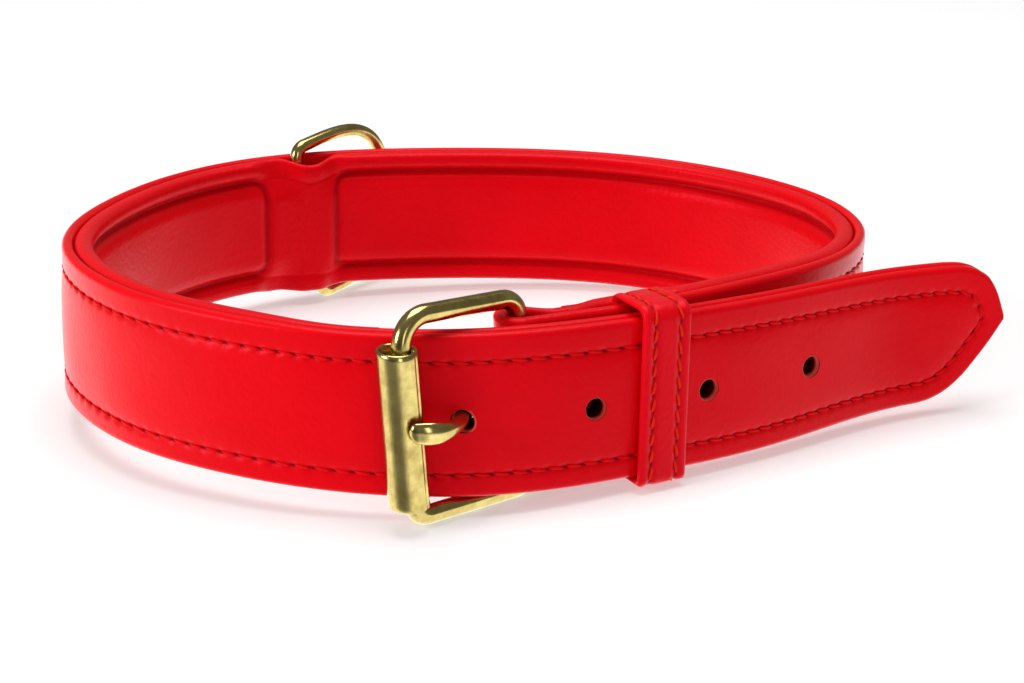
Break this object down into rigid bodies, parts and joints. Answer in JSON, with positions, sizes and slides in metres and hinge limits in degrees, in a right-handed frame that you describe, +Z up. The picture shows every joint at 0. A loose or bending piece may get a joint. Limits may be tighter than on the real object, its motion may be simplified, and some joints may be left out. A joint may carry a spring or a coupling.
{
  "type": "pet collar",
  "caption": "Wide padded leather pet collar with a roller buckle fastened round its pointed punched end, a keeper loop and a wire D-ring that swings on the back.",
  "frame": {"origin": "centre of the bounding box's bottom face, on the surface that the collar stands on", "axes": "+Z up, along the axis of the neck hollow; the buckle faces -Y and the pointed free end runs towards +X"},
  "size_m": [0.2408, 0.194, 0.0515],
  "materials": {
    "red_leather": "smooth, lightly grained, satin",
    "brass": "satin, lightly aged"
  },
  "bodies": {
    "collar": {"outer_strap": "red_leather", "padded_lining": "red_leather", "strap_end_backing": "red_leather", "keeper_loop": "red_leather", "buckle_frame": "brass", "buckle_roller": "brass", "buckle_tongue": "brass"},
    "ring": {"d_ring": "brass"}
  },
  "joints": [
    {"name": "d_ring_swing", "type": "hinge", "parent": "collar", "child": "ring", "pos_m": [-0.0653, 0.07042, 0.02347], "axis": [-0.1604, -0.0665, 0.9848], "range_deg": [0, 66]}
  ]
}
